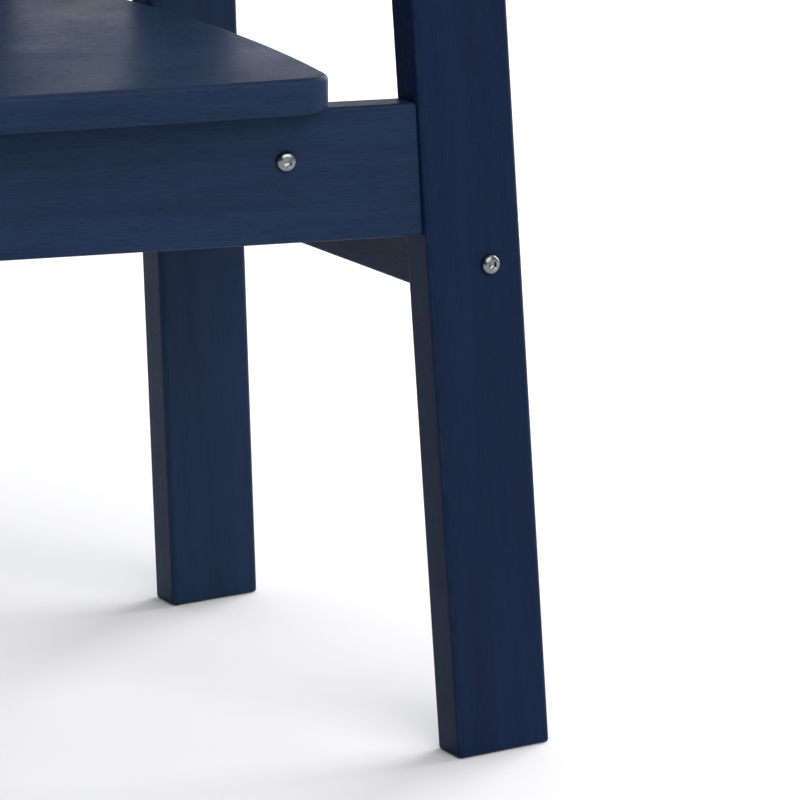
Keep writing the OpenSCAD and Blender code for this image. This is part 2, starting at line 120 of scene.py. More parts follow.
def remap(tree: bpy.types.NodeTree, value: bpy.types.NodeSocket, low: float, high: float,
          to_low: float, to_high: float) -> bpy.types.NodeSocket:
    """Maps a value from one range to another, clamped, with smooth ends.

    Args:
        tree: the node tree.
        value: the source socket.
        low: start of the source range.
        high: end of the source range.
        to_low: result at low.
        to_high: result at high.

    Returns:
        The mapped socket.
    """
    node = add_node(tree, "ShaderNodeMapRange", interpolation_type="SMOOTHSTEP",
                    inputs={0: value, 1: low, 2: high, 3: to_low, 4: to_high})
    return node.outputs[0]


def mix_colour(tree: bpy.types.NodeTree, mask: bpy.types.NodeSocket, first: object,
               second: object) -> bpy.types.NodeSocket:
    """Mixes two colours by a mask.

    Args:
        tree: the node tree.
        mask: 0 gives the first colour and 1 the second.
        first: a colour or a socket.
        second: a colour or a socket.

    Returns:
        The mixed colour socket.
    """
    node = add_node(tree, "ShaderNodeMix", data_type="RGBA", inputs={0: mask, 6: first, 7: second})
    return node.outputs[2]


def new_group(name: str, inputs: dict[str, str], outputs: dict[str, str]) -> tuple:
    """Starts a shader node group.

    Args:
        name: the group's name.
        inputs: socket names and types.
        outputs: socket names and types.

    Returns:
        The group tree, its input node and its output node.
    """
    group = bpy.data.node_groups.new(name, "ShaderNodeTree")
    for label, kind in inputs.items():
        group.interface.new_socket(label, in_out="INPUT", socket_type=kind)
    for label, kind in outputs.items():
        group.interface.new_socket(label, in_out="OUTPUT", socket_type=kind)
    return group, group.nodes.new("NodeGroupInput"), group.nodes.new("NodeGroupOutput")


FLOAT, VECTOR = "NodeSocketFloat", "NodeSocketVector"


class Effects:
    """The effects that several finishes share, each built once as a node group."""

    def __init__(self) -> None:
        """Builds the three groups."""
        self.grain = self.timber_grain()
        self.wear_and_highlight = self.edge_wear_and_highlight()
        self.mottle = self.fine_mottle()

    @staticmethod
    def stretched_noise(tree: bpy.types.NodeTree, board: bpy.types.NodeSocket, along: float,
                        across: float, detail: float) -> bpy.types.NodeSocket:
        """Noise drawn out along the grain: noise of (along x, across y, across z).

        Args:
            tree: the node tree.
            board: position on the board in metres, X along the grain.
            along: cells for each metre along the grain.
            across: cells for each metre across it.
            detail: octaves of the noise.

        Returns:
            The noise factor.
        """
        scaled = add_node(tree, "ShaderNodeVectorMath", operation="MULTIPLY",
                          inputs={0: board, 1: (along, across, across)})
        noise = add_node(tree, "ShaderNodeTexNoise", inputs={
            "Vector": scaled.outputs[0], "Scale": 1.0, "Detail": detail, "Roughness": 0.6})
        return noise.outputs["Fac"]

    def timber_grain(self) -> bpy.types.NodeTree:
        """Wood grain in board coordinates: growth bands, fine fibres and short open pores.

        Returns:
            The group, with outputs Tone, Pores and Height.
        """
        group, given, result = new_group(
            "timber_grain", {"Board": VECTOR, "Pore Depth": FLOAT, "Fibre Depth": FLOAT},
            {"Tone": FLOAT, "Pores": FLOAT, "Height": FLOAT})
        board = given.outputs["Board"]
        bands = self.stretched_noise(group, board, 5.0, 75.0, 2.0)
        fibres = self.stretched_noise(group, board, 55.0, 900.0, 3.0)
        dashes = self.stretched_noise(group, board, 190.0, 1500.0, 1.0)
        pores = remap(group, dashes, 0.60, 0.70, 0.0, 1.0)
        tone = math_node(group, "ADD", math_node(group, "MULTIPLY", bands, 0.6),
                         math_node(group, "MULTIPLY", fibres, 0.4))
        raised = math_node(group, "MULTIPLY", math_node(group, "ADD", fibres, bands),
                           given.outputs["Fibre Depth"])
        sunk = math_node(group, "MULTIPLY", pores, given.outputs["Pore Depth"])
        for label, socket in (("Tone", tone), ("Pores", pores),
                              ("Height", math_node(group, "SUBTRACT", raised, sunk))):
            group.links.new(socket, result.inputs[label])
        return group

    @staticmethod
    def edge_wear_and_highlight() -> bpy.types.NodeTree:
        """Lighter patches on eased edges, partly wear and partly a painted highlight: the edge share times
        a broken noise, with a threshold.

        Returns:
            The group, with output Mask.
        """
        group, given, result = new_group(
            "edge_wear_and_highlight", {"Ease": FLOAT, "Position": VECTOR, "Amount": FLOAT}, {"Mask": FLOAT})
        noise = add_node(group, "ShaderNodeTexNoise", inputs={
            "Vector": given.outputs["Position"], "Scale": 70.0, "Detail": 4.0, "Roughness": 0.65})
        edge_share = math_node(group, "MULTIPLY", given.outputs["Ease"], noise.outputs["Fac"])
        mask = remap(group, edge_share, 0.30, 0.62, 0.0, 1.0)
        group.links.new(math_node(group, "MULTIPLY", mask, given.outputs["Amount"], clamp=True),
                        result.inputs["Mask"])
        return group

    @staticmethod
    def fine_mottle() -> bpy.types.NodeTree:
        """A cloudy value between two levels, for roughness and sheen that vary over a surface.

        Returns:
            The group, with output Value.
        """
        group, given, result = new_group(
            "fine_mottle", {"Position": VECTOR, "Scale": FLOAT, "Low": FLOAT, "High": FLOAT},
            {"Value": FLOAT})
        noise = add_node(group, "ShaderNodeTexNoise", inputs={
            "Vector": given.outputs["Position"], "Scale": given.outputs["Scale"], "Detail": 5.0})
        spread = add_node(group, "ShaderNodeMapRange", inputs={
            0: noise.outputs["Fac"], 1: 0.3, 2: 0.7,
            3: given.outputs["Low"], 4: given.outputs["High"]})
        group.links.new(spread.outputs[0], result.inputs["Value"])
        return group


def start_material(name: str) -> tuple[bpy.types.Material, bpy.types.NodeTree, bpy.types.Node]:
    """Makes a node material with a Principled shader.

    Args:
        name: the material's name.

    Returns:
        The material, its tree and its Principled node.
    """
    material = bpy.data.materials.new(name)
    material.use_nodes = True
    tree = material.node_tree
    tree.nodes.clear()
    shader = tree.nodes.new("ShaderNodeBsdfPrincipled")
    out = tree.nodes.new("ShaderNodeOutputMaterial")
    tree.links.new(shader.outputs[0], out.inputs[0])
    return material, tree, shader


def use_group(tree: bpy.types.NodeTree, group: bpy.types.NodeTree, **inputs: object) -> bpy.types.Node:
    """Places a shared group in a material.

    Args:
        tree: the material's tree.
        group: the shared group.
        inputs: values or sockets, by socket name with _ for a space.

    Returns:
        The group node.
    """
    node = tree.nodes.new("ShaderNodeGroup")
    node.node_tree = group
    for label, value in inputs.items():
        socket = node.inputs[label.replace("_", " ")]
        if isinstance(value, bpy.types.NodeSocket):
            tree.links.new(value, socket)
        else:
            socket.default_value = value
    return node


def bump(tree: bpy.types.NodeTree, shader: bpy.types.Node, height: bpy.types.NodeSocket,
         distance: float, strength: float) -> None:
    """Feeds a height through a Bump node into the shader's normal.

    Args:
        tree: the material's tree.
        shader: the Principled node.
        height: the height socket.
        distance: height of a full step in metres.
        strength: share of the effect.
    """
    node = add_node(tree, "ShaderNodeBump",
                    inputs={"Height": height, "Distance": distance, "Strength": strength})
    tree.links.new(node.outputs[0], shader.inputs["Normal"])


@dataclass(frozen=True)
class PaintedTimber:
    """Satin paint over open-grained hardwood, in a darker and a lighter copy mixed per board as painted
    shade and painted light, with lighter eased edges that are partly wear and partly a painted highlight.
    """

    name: str
    # The first two colours are the same paint in painted shade and in painted light; each board's share of
    # painted shade picks between them.
    shaded_paint: tuple = (0.0046, 0.0135, 0.0415, 1.0)
    lit_paint: tuple = (0.0118, 0.0270, 0.0630, 1.0)
    deep: tuple = (0.0036, 0.0085, 0.0230, 1.0)
    # Lighter edge colour: partly worn paint, partly a painted highlight on the eased edges.
    rubbed_and_highlight: tuple = (0.0160, 0.0300, 0.0690, 1.0)
    smooth: float = 0.33
    rough: float = 0.43
    cloud_scale: float = 22.0
    stipple_scale: float = 1100.0
    stipple: float = 0.22
    pore_depth: float = 0.9
    fibre_depth: float = 0.45
    # Strength of the lighter edges, which are partly wear and partly a painted highlight.
    wear_and_highlight: float = 0.5
    pore_tint: float = 0.4
    pore_dulling: float = 0.3
    specular: float = 0.065
    grain_height: float = 0.22 * MM
    relief: float = 0.55

    def material(self, effects: Effects) -> bpy.types.Material:
        """Builds the finish.

        Args:
            effects: the shared node groups.

        Returns:
            The material.
        """
        material, tree, shader = start_material(self.name)
        board = add_node(tree, "ShaderNodeAttribute", attribute_name="board").outputs["Vector"]
        ease = add_node(tree, "ShaderNodeAttribute", attribute_name="ease").outputs["Fac"]
        grain = use_group(tree, effects.grain, Board=board, Pore_Depth=self.pore_depth,
                          Fibre_Depth=self.fibre_depth)
        wear_and_highlight = use_group(tree, effects.wear_and_highlight, Ease=ease, Position=board, Amount=self.wear_and_highlight)
        mottle = use_group(tree, effects.mottle, Position=board, Scale=self.cloud_scale,
                           Low=self.smooth, High=self.rough)
        stipple = use_group(tree, effects.mottle, Position=board, Scale=self.stipple_scale,
                            Low=0.0, High=self.stipple)
        # Painted shade: each board's stored share mixes the darker and the lighter copy of the paint.
        painted_shade = add_node(tree, "ShaderNodeAttribute", attribute_name="painted_shade").outputs["Fac"]
        body = mix_colour(tree, painted_shade, self.lit_paint, self.shaded_paint)
        tone = remap(tree, grain.outputs["Tone"], 0.30, 0.70, 0.82, 1.18)
        toned = add_node(tree, "ShaderNodeVectorMath", operation="SCALE",
                         inputs={0: body, 3: tone}).outputs[0]
        pores = math_node(tree, "MULTIPLY", grain.outputs["Pores"], self.pore_tint)
        colour = mix_colour(tree, pores, toned, self.deep)
        # Eased edges lightened in broken patches: partly wear, partly a painted highlight.
        colour = mix_colour(tree, wear_and_highlight.outputs["Mask"], colour, self.rubbed_and_highlight)
        tree.links.new(colour, shader.inputs["Base Color"])
        dull = math_node(tree, "ADD", mottle.outputs["Value"],
                         math_node(tree, "MULTIPLY", pores, self.pore_dulling), clamp=True)
        tree.links.new(dull, shader.inputs["Roughness"])
        height = math_node(tree, "ADD", grain.outputs["Height"], stipple.outputs["Value"])
        bump(tree, shader, height, self.grain_height, self.relief)
        shader.inputs["Specular IOR Level"].default_value = self.specular
        return material


@dataclass(frozen=True)
class StainlessSteel:
    """Turned and tumbled stainless steel."""

    name: str
    metal: tuple = (0.25, 0.27, 0.28, 1.0)
    stain: tuple = (0.10, 0.11, 0.12, 1.0)
    stain_scale: float = 420.0
    stain_share: float = 0.5
    polish_scale: float = 900.0
    smooth: float = 0.10
    rough: float = 0.24
    scratch: float = 0.5
    scratch_height: float = 0.04 * MM
    relief: float = 0.4

    def material(self, effects: Effects) -> bpy.types.Material:
        """Builds the finish.

        Args:
            effects: the shared node groups.

        Returns:
            The material.
        """
        material, tree, shader = start_material(self.name)
        place = add_node(tree, "ShaderNodeTexCoord").outputs["Object"]
        cloud = use_group(tree, effects.mottle, Position=place, Scale=self.stain_scale,
                          Low=0.0, High=self.stain_share)
        polish = use_group(tree, effects.mottle, Position=place, Scale=self.polish_scale,
                           Low=self.smooth, High=self.rough)
        scratch = use_group(tree, effects.grain, Board=place, Pore_Depth=self.scratch,
                            Fibre_Depth=self.scratch)
        colour = mix_colour(tree, cloud.outputs["Value"], self.metal, self.stain)
        tree.links.new(colour, shader.inputs["Base Color"])
        tree.links.new(polish.outputs["Value"], shader.inputs["Roughness"])
        bump(tree, shader, scratch.outputs["Height"], self.scratch_height, self.relief)
        shader.inputs["Metallic"].default_value = 1.0
        return material


@dataclass(frozen=True)
class BareBeech:
    """Unpainted beech, as on the dowels."""

    name: str
    light: tuple = (0.56, 0.36, 0.20, 1.0)
    dark: tuple = (0.36, 0.20, 0.09, 1.0)
    grain_depth: float = 0.6
    grain_height: float = 0.3 * MM
    relief: float = 0.5
    cloud_scale: float = 60.0
    smooth: float = 0.5
    rough: float = 0.72

    def material(self, effects: Effects) -> bpy.types.Material:
        """Builds the finish.

        Args:
            effects: the shared node groups.

        Returns:
            The material.
        """
        material, tree, shader = start_material(self.name)
        place = add_node(tree, "ShaderNodeTexCoord").outputs["Object"]
        grain = use_group(tree, effects.grain, Board=place, Pore_Depth=self.grain_depth,
                          Fibre_Depth=self.grain_depth)
        rough = use_group(tree, effects.mottle, Position=place, Scale=self.cloud_scale,
                          Low=self.smooth, High=self.rough)
        mask = math_node(tree, "MAXIMUM", remap(tree, grain.outputs["Tone"], 0.35, 0.7, 0.0, 0.7),
                         grain.outputs["Pores"])
        tree.links.new(mix_colour(tree, mask, self.light, self.dark), shader.inputs["Base Color"])
        tree.links.new(rough.outputs["Value"], shader.inputs["Roughness"])
        bump(tree, shader, grain.outputs["Height"], self.grain_height, self.relief)
        return material


@dataclass(frozen=True)
class StudioPaper:
    """Matt white studio paper."""

    name: str
    tint_low: tuple = (0.80, 0.795, 0.80, 1.0)
    tint_high: tuple = (0.83, 0.825, 0.83, 1.0)

    def material(self, effects: Effects) -> bpy.types.Material:
        """Builds the finish.

        Args:
            effects: the shared node groups.

        Returns:
            The material.
        """
        material, tree, shader = start_material(self.name)
        place = add_node(tree, "ShaderNodeTexCoord").outputs["Object"]
        cloud = use_group(tree, effects.mottle, Position=place, Scale=2.0, Low=0.0, High=1.0)
        rough = use_group(tree, effects.mottle, Position=place, Scale=300.0, Low=0.85, High=1.0)
        tree.links.new(mix_colour(tree, cloud.outputs["Value"], self.tint_low, self.tint_high),
                       shader.inputs["Base Color"])
        tree.links.new(rough.outputs["Value"], shader.inputs["Roughness"])
        shader.inputs["Specular IOR Level"].default_value = 0.1
        return material


# ---------------------------------------------------------------- mesh helpers


def unit(v: np.ndarray) -> np.ndarray:
    """Vectors scaled to length one, along the last axis."""
    return v / np.maximum(np.linalg.norm(v, axis=-1, keepdims=True), 1e-12)


def merged_mesh(node: str) -> tuple[np.ndarray, np.ndarray]:
    """A CAD node's vertices with equal ones merged, and its triangles.

    Args:
        node: the CAD node's name.

    Returns:
        Points (N, 3) in metres and triangles (T, 3).
    """
    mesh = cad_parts[node].data
    points = np.zeros(len(mesh.vertices) * 3)
    mesh.vertices.foreach_get("co", points)
    mesh.calc_loop_triangles()
    triangles = np.zeros(len(mesh.loop_triangles) * 3, int)
    mesh.loop_triangles.foreach_get("vertices", triangles)
    grid = np.round(points.reshape(-1, 3) / MERGE).astype(int)
    _, first, back = np.unique(grid, axis=0, return_index=True, return_inverse=True)
    triangles = back.ravel()[triangles].reshape(-1, 3)
    apart = (triangles != np.roll(triangles, 1, axis=1)).all(axis=1)
    return points.reshape(-1, 3)[first], triangles[apart]


def closed_length(loop: np.ndarray) -> float:
    """The length of a closed loop of points."""
    return float(np.linalg.norm(loop - np.roll(loop, 1, axis=0), axis=1).sum())


def outline_of(points: np.ndarray, normal: np.ndarray, level: float, hollow: bool) -> np.ndarray:
    """The outer outline of a flat face, anticlockwise about its normal.

    It is the convex hull of the points on the plane or, for a face with a hollow edge, those
    points in the order of their angle about the middle of one of the hull's edges: the edge for
    which that makes the shortest loop.

    Args:
        points: vertices (N, 3).
        normal: the plane's outward normal.
        level: the plane's distance along it.
        hollow: whether the outline has a hollow edge.

    Returns:
        Outline points (M, 3), with straight runs reduced to their ends.
    """
    flat = points[np.abs(points @ normal - level) < ON_PLANE]
    u = unit(np.cross(normal, np.where(np.abs(normal[2]) < 0.7, UP, [1.0, 0.0, 0.0])))
    plane = np.stack([flat @ u, flat @ np.cross(normal, u)], axis=1)
    order = np.array(convex_hull_2d([tuple(q) for q in plane]))
    if hollow:
        corners = plane[order]
        middles = (corners + np.roll(corners, -1, axis=0)) / 2
        orders = [np.argsort(np.arctan2(plane[:, 1] - y, plane[:, 0] - x)) for x, y in middles]
        order = min(orders, key=lambda way: closed_length(plane[way]))
    x, y = plane[order].T
    if (x * np.roll(y, -1) - y * np.roll(x, -1)).sum() < 0:
        order = order[::-1]
    loop = flat[order]
    loop = loop[np.linalg.norm(loop - np.roll(loop, 1, axis=0), axis=1) > SHORTEST_EDGE]
    before = unit(loop - np.roll(loop, 1, axis=0))
    after = unit(np.roll(loop, -1, axis=0) - loop)
    return loop[(before * after).sum(axis=1) < np.cos(np.radians(STRAIGHT_DEG))]


def mesh_object(name: str, points: np.ndarray, faces: list, smooth_deg: float = 40.0) -> bpy.types.Object:
    """Makes a smooth-shaded mesh object with sharp edges kept and big faces flat.

    Args:
        name: the object's name.
        points: vertices (N, 3) in metres.
        faces: lists of vertex numbers.
        smooth_deg: edges that turn more than this stay sharp.

    Returns:
        The linked object.
    """
    mesh = bpy.data.meshes.new(name)
    mesh.from_pydata(points.tolist(), [], faces)
    mesh.update()
    obj = bpy.data.objects.new(name, mesh)
    bpy.context.scene.collection.objects.link(obj)
    shade(obj, smooth_deg)
    return obj


def shade(obj: bpy.types.Object, smooth_deg: float) -> None:
    """Smooth shading with sharp edges past an angle, weighted to the largest faces.

    Args:
        obj: the mesh object.
        smooth_deg: edges that turn more than this stay sharp.
    """
    obj.data.shade_smooth()
    obj.data.set_sharp_from_angle(angle=np.radians(smooth_deg))
    weighted = obj.modifiers.new("even_faces", "WEIGHTED_NORMAL")
    weighted.keep_sharp = True
    weighted.weight = 90


def corner_attribute(obj: bpy.types.Object, name: str, kind: str, values: np.ndarray) -> None:
    """Stores a per-vertex value on the face corners, where a cut keeps it.

    Args:
        obj: the mesh object.
        name: the attribute's name.
        kind: FLOAT or FLOAT_VECTOR.
        values: one row for each vertex.
    """
    mesh = obj.data
    which = np.zeros(len(mesh.loops), int)
    mesh.loops.foreach_get("vertex_index", which)
    layer = mesh.attributes.get(name) or mesh.attributes.new(name, kind, "CORNER")
    layer.data.foreach_set("value" if kind == "FLOAT" else "vector",
                           values[which].astype(np.float32).ravel())


def ring_faces(rings: int, count: int, first: int = 0) -> list:
    """Quads between successive rings of a closed tube, with a face on each end.

    Quad (k, i) joins ring k's points i and i + 1 to those of ring k + 1.

    Args:
        rings: number of rings.
        count: points in each ring.
        first: number of the first vertex.

    Returns:
        Faces that point outwards for rings that turn anticlockwise about the direction of travel.
    """
    k, i = np.meshgrid(np.arange(rings - 1), np.arange(count), indexing="ij")
    j = (i + 1) % count
    quads = np.stack([k * count + i, k * count + j, (k + 1) * count + j, (k + 1) * count + i], axis=-1)
    low = np.arange(count)[::-1] + first
    high = np.arange(count) + (rings - 1) * count + first
    return (quads.reshape(-1, 4) + first).tolist() + [low.tolist(), high.tolist()]


# ---------------------------------------------------------------- boards


@dataclass
class Board:
    """A board with eased edges, built between the two broad faces of its CAD node."""

    node: str
    ease: float = 3.0 * MM
    low_end: End = End.BUTT
    high_end: End = End.BUTT
    seed: int = 0
    bores: tuple = ()
    steps: int = 5
    corner_points: int = 6
    sharp_turn: float = 25.0
    grain: tuple | None = None
    hollow: bool = False
    facing: tuple | None = None
    # Share of painted shade in the board's colour: 1 gives the darker copy of the paint, 0 the lighter.
    painted_shade: float = 0.5
    least_corner: float = 0.3 * MM
    extra_corner: float = 0.2 * MM
    most_depth: float = 0.4
    end_share: float = 0.55
    across_limit: float = 0.6

    def broad_faces(self) -> tuple[np.ndarray, np.ndarray, np.ndarray, np.ndarray]:
        """Finds the two largest opposite planes and their outlines.

        Returns:
            Both outlines (M, 3), matched point to point, and both outward normals.
        """
        points, triangles = merged_mesh(self.node)
        a, b, c = (points[triangles[:, i]] for i in range(3))
        cross = np.cross(b - a, c - a)
        area = np.linalg.norm(cross, axis=1) / 2
        normal = unit(cross)
        offset = (normal * a).sum(axis=1)
        same = (normal @ normal.T > 0.99995) & (np.abs(offset[:, None] - offset) < SAME_PLANE)
        size = same @ area
        normal = unit(same @ (normal * area[:, None]))
        offset = (same @ ((normal * a).sum(axis=1) * area)) / size
        if self.facing is not None:
            size = np.where(np.abs(normal @ np.array(self.facing, float)) > 0.8, size, 0.0)
        top = int(np.argmax(size))
        under = int(np.argmax(np.where(normal @ normal[top] < -0.9, size, 0.0)))
        first, other = (outline_of(points, normal[k], offset[k], self.hollow) for k in (top, under))
        if len(other) > len(first):
            first, other, top, under = other, first, under, top
        if len(first) != len(other):
            rise = (first @ normal[under] - offset[under]) / (normal[top] @ normal[under])
            return first, first - rise[:, None] * normal[top], normal[top], normal[under]
        flat = np.eye(3) - np.outer(normal[top], normal[top])
        gap = np.linalg.norm((first[:, None] - other[None]) @ flat, axis=2)
        match = np.argmin(gap, axis=1)
        if len(np.unique(match)) != len(first):
            LOG.warning("%s: outlines do not match point to point", self.node)
        return first, other[match], normal[top], normal[under]

    def edge_ease(self, loop: np.ndarray, along: np.ndarray) -> np.ndarray:
        """How far each outline edge is eased: the long edges by ease, the ends by their own size.

        Args:
            loop: the outline (M, 3).
            along: the board's length direction.

        Returns:
            One size for each edge from point i to point i + 1.
        """
        after = np.roll(loop, -1, axis=0) - loop
        across = np.abs(unit(after) @ along) < self.across_limit
        place = ((loop + after / 2) - loop.mean(axis=0)) @ along
        reach = np.abs((loop - loop.mean(axis=0)) @ along).max()
        low = across & (place < -self.end_share * reach)
        high = across & (place > self.end_share * reach)
        sizes = np.full(len(loop), self.ease)
        sizes[low] = min(self.low_end.value, self.ease)
        sizes[high] = min(self.high_end.value, self.ease)
        return sizes

    @staticmethod
    def inset(loop: np.ndarray, normal: np.ndarray, sizes: np.ndarray) -> np.ndarray:
        """Moves each edge inwards by its size and returns the new corners.

        A corner's shift a has a.n1 = d1 and a.n2 = d2 for the inward normals n1, n2 of its edges;
        where the edges are nearly in line the mean size along the mean normal is used.

        Args:
            loop: the outline (M, 3), anticlockwise about normal.
            normal: the face's outward normal.
            sizes: one size for each edge.

        Returns:
            The moved outline (M, 3).
        """
        n2 = unit(np.cross(normal, np.roll(loop, -1, axis=0) - loop))
        n1 = np.roll(n2, 1, axis=0)
        d2, d1 = sizes[:, None], np.roll(sizes, 1)[:, None]
        c = (n1 * n2).sum(axis=1, keepdims=True)
        turned = (d1 * (n1 - c * n2) + d2 * (n2 - c * n1)) / np.maximum(1 - c * c, 1e-6)
        straight = (d1 + d2) / 2 * (n1 + n2) / (1 + np.maximum(c, -0.5))
        return loop + np.where(c < 0.9, turned, straight)

    def filleted(self, loop: np.ndarray, sharp: np.ndarray, reach: np.ndarray) -> np.ndarray:
        """Rounds the sharp corners with (1-s)^2 A + 2s(1-s) P + s^2 B, A and B on its two edges.

        Args:
            loop: the outline (M, 3).
            sharp: which corners are rounded.
            reach: how far each rounding runs along its edges.

        Returns:
            The outline with corner_points points at each sharp corner.
        """
        back = unit(np.roll(loop, 1, axis=0) - loop)
        ahead = unit(np.roll(loop, -1, axis=0) - loop)
        count = np.where(sharp, self.corner_points, 1)
        which = np.repeat(np.arange(len(loop)), count)
        s = (np.arange(len(which)) - np.repeat(np.cumsum(count) - count, count)) / (self.corner_points - 1)
        s = s[:, None]
        r = np.where(sharp, reach, 0.0)[which][:, None]
        curve = (1 - s) ** 2 * (back[which] * r) + s ** 2 * (ahead[which] * r)
        return loop[which] + curve

    def surface(self) -> tuple[np.ndarray, list, np.ndarray, np.ndarray]:
        """The eased board as rings: inset d(1 - sin f) and depth r(1 - cos f) from each broad face.

        Returns:
            Points, faces, the share of easing at each point, and the board axes (3, 3).
        """
        top, under, up, down = self.broad_faces()
        if (np.cross(top, np.roll(top, -1, axis=0)).sum(axis=0) @ up) < 0:
            top, under = top[::-1], under[::-1]
        edge = np.roll(top, -1, axis=0) - top
        along = unit(edge[np.argmax(np.linalg.norm(edge, axis=1))])
        if self.grain is not None:
            along = unit(np.array(self.grain, float))
        along = along * (1 if along @ np.array([1.0, 0.3, 2.0]) > 0 else -1)
        along = unit(along - (along @ up) * up)
        sizes = self.edge_ease(top, along)
        turn = (unit(edge) * unit(np.roll(edge, 1, axis=0))).sum(axis=1)
        sharp = turn < np.cos(np.radians(self.sharp_turn))
        limit = np.minimum(sizes, np.roll(sizes, 1))
        through = unit(under - top)
        span = np.linalg.norm(under - top, axis=1, keepdims=True)
        depth = min(self.ease, self.most_depth * float(span.min()))
        swing = np.linspace(0.0, np.pi / 2, self.steps)
        rings, edge_share = [], []
        for face, lines, normal, step in ((top, swing, up, through), (under, swing[::-1], -down, -through)):
            for f in lines:
                loop = self.inset(face, normal, sizes * (1 - np.sin(f)))
                loop = loop + step * depth * (1 - np.cos(f))
                reach = np.maximum(limit * np.sin(f), self.least_corner) + self.extra_corner
                rings.append(self.filleted(loop, sharp, reach))
                edge_share.append(np.full(len(rings[-1]), np.sin(2 * f)))
        stack = np.array(rings)[::-1]
        faces = ring_faces(len(stack), stack.shape[1])
        axes = np.stack([along, np.cross(up, along), up])
        return stack.reshape(-1, 3), faces, np.array(edge_share)[::-1].ravel(), axes

    def build(self, finish: bpy.types.Material, hardware: "Hardware") -> bpy.types.Object:
        """Makes the board, bores it, and hides its CAD node.

        Args:
            finish: the board's material.
            hardware: the fasteners whose holes are bored.

        Returns:
            The board's object.
        """
        points, faces, edge_share, axes = self.surface()
        obj = mesh_object(f"{self.node}_board", points, faces)
        corner_attribute(obj, "ease", "FLOAT", edge_share)
        if self.bores:
            hardware.bore(obj, self.node, self.bores)
        self.set_board_coordinates(obj, axes, points.mean(axis=0))
        # Stores the board's share of painted shade.
        corner_attribute(obj, "painted_shade", "FLOAT", np.full(len(obj.data.vertices), self.painted_shade))
        obj.data.materials.clear()
        obj.data.materials.append(finish)
        settle(obj, "navy_paint", self.node)
        return obj

    def set_board_coordinates(self, obj: bpy.types.Object, axes: np.ndarray, centre: np.ndarray) -> None:
        """Stores each point's place on the board: axes times (point - centre), plus an offset.

        Args:
            obj: the board's object.
            axes: rows are the length, width and thickness directions.
            centre: the board's middle.
        """
        co = np.zeros(len(obj.data.vertices) * 3)
        obj.data.vertices.foreach_get("co", co)
        place = (co.reshape(-1, 3) - centre) @ axes.T + GRAIN_STEP * (self.seed + 1)
        corner_attribute(obj, "board", "FLOAT_VECTOR", place)


def settle(obj: bpy.types.Object, slot: str, *nodes: str) -> None:
    """Puts a piece on the body, hides the CAD nodes that it stands for and logs it.

    Args:
        obj: the piece.
        slot: the record's material slot; not used.
        nodes: the CAD nodes that it stands for.
    """
    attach(obj, "root")
    if nodes:
        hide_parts(*nodes)
    LOG.info("%s: %d faces", obj.name, len(obj.data.polygons))


# ---------------------------------------------------------------- hardware


@dataclass
class Shafts:
    """The places of equal fasteners, read from their CAD node."""

    node: str
    heads: np.ndarray = field(init=False)
    axes: np.ndarray = field(init=False)
    length: float = field(init=False)
    radius: float = field(init=False)

    def __post_init__(self) -> None:
        """Finds each fastener's top point, the direction to its tip, its length and head radius.

        Fasteners are told apart by spreading the lowest vertex number over each triangle until
        nothing changes. A fastener's line is the widest direction of its points.
        """
        points, triangles = merged_mesh(self.node)
        label = np.arange(len(points))
        while True:
            low = label[triangles].min(axis=1)
            spread = label.copy()
            np.minimum.at(spread, triangles.ravel(), np.repeat(low, 3))
            if (spread == label).all():
                break
            label = spread
        groups = [points[label == value] for value in np.unique(label[triangles])]
        heads, axes = [], []
        for group in groups:
            line = np.linalg.svd(group - group.mean(axis=0), full_matrices=False)[2][0]
            centre = group.mean(axis=0)
            t = (group - centre) @ line
            away = np.linalg.norm(group - centre - np.outer(t, line), axis=1)
            if away[t > 0.8 * t.max()].max() > away[t < 0.8 * t.min()].max():
                line, t = -line, -t
            heads.append(centre + line * t.min())
            axes.append(line)
            self.length = float(t.max() - t.min())
            self.radius = float(away.max())
        self.heads, self.axes = np.array(heads), np.array(axes)

    def open_inwards(self) -> None:
        """Turns each fastener about so that its top is the end nearer the chair's middle and the floor."""
        tips = self.heads + self.axes * self.length
        reach = [np.abs(ends[:, 0]) + ends[:, 2] for ends in (self.heads, tips)]
        turn = (reach[1] < reach[0])[:, None]
        self.heads = np.where(turn, tips, self.heads)
        self.axes = np.where(turn, -self.axes, self.axes)

    def frames(self) -> tuple[np.ndarray, np.ndarray]:
        """Two directions square to each fastener's line."""
        helper = np.where(np.abs(self.axes[:, 2:3]) < 0.8, UP, np.array([1.0, 0.0, 0.0]))
        side = unit(np.cross(helper, self.axes))
        return side, np.cross(self.axes, side)


def turned(shafts: Shafts, radius: np.ndarray, depth: np.ndarray) -> tuple[np.ndarray, list]:
    """Lathe work: ring k of each fastener is head + depth[k] line + radius[k, i] (cos a U + sin a V).

    Args:
        shafts: the places.
        radius: radii (K, n), which may change round the ring.
        depth: distance of each ring below the head's top (K,), or (K, n).

    Returns:
        Points and faces of every fastener.
    """
    rings, count = radius.shape
    angle = np.arange(count) * 2 * np.pi / count
    side, square = shafts.frames()
    depth = np.broadcast_to(depth.reshape(rings, -1), (rings, count))
    round_it = (np.cos(angle)[None, None, :, None] * side[:, None, None]
                + np.sin(angle)[None, None, :, None] * square[:, None, None])
    points = (shafts.heads[:, None, None] + depth[None, :, :, None] * shafts.axes[:, None, None]
              + radius[None, :, :, None] * round_it)
    faces = []
    for n in range(len(shafts.heads)):
        faces += ring_faces(rings, count, n * rings * count)
    return points.reshape(-1, 3), faces


def polygon_radius(angle: np.ndarray, sides: int) -> np.ndarray:
    """Radius of a regular polygon of inner radius 1: 1 / cos of the angle from its nearest flat."""
    sector = 2 * np.pi / sides
    return 1 / np.cos((angle + sector / 2) % sector - sector / 2)


def lobed_radius(angle: np.ndarray, depth: float) -> np.ndarray:
    """Radius of a six-lobed recess: 1 + depth cos 6a."""
    return 1 + depth * np.cos(6 * angle)


